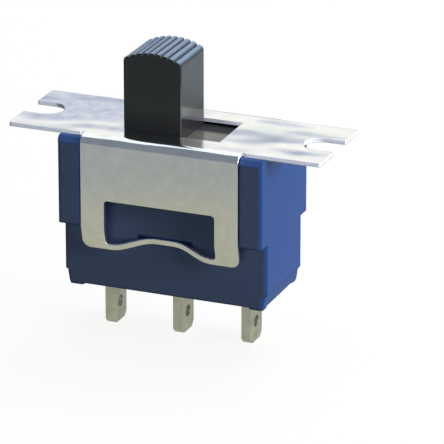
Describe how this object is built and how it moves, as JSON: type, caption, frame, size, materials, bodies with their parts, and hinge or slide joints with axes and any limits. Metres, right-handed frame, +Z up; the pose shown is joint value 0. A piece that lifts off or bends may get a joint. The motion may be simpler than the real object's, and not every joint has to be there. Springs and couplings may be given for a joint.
{
  "type": "slide switch",
  "caption": "Panel slide switch: blue moulded case in a folded steel frame with open screw slots, ribbed black knob and drilled solder lugs.",
  "frame": {"origin": "centre of the mounting plate's top face, midway between the two screw slots", "axes": "+X along the switch towards the end the knob slides to, +Y across it, +Z up out of the panel through the knob"},
  "size_m": [0.0322, 0.0122, 0.0291],
  "materials": {
    "steel": "bright zinc plating over steel sheet",
    "case": "satin blue moulding",
    "slider": "glossy black moulding",
    "plunger": "natural nylon",
    "spring": "drawn spring wire",
    "terminal": "dull tin plating over brass",
    "rocker": "copper sheet",
    "contact": "silver contact button"
  },
  "bodies": {
    "housing": {"frame": "steel", "case": "case", "terminal_left": "terminal", "terminal_common": "terminal", "terminal_right": "terminal", "fixed_contact_left": "contact", "fixed_contact_right": "contact"},
    "slide": {"slider": "slider", "plunger": "plunger", "plunger_spring": "spring"},
    "rocker": {"rocker": "rocker", "rocker_contact_left": "contact", "rocker_contact_right": "contact"}
  },
  "joints": [
    {"name": "knob_slide", "type": "slide", "parent": "housing", "child": "slide", "axis": [1, 0, 0], "range_m": [0, 0.0039]},
    {"name": "rocker_pivot", "type": "hinge", "parent": "housing", "child": "rocker", "pos_m": [0, 0, -0.01075], "axis": [0, 1, 0], "range_deg": [0, 12]}
  ],
  "couplings": [
    {"joint": "rocker_pivot", "follows": "knob_slide", "rad_per_m": 53.702}
  ]
}
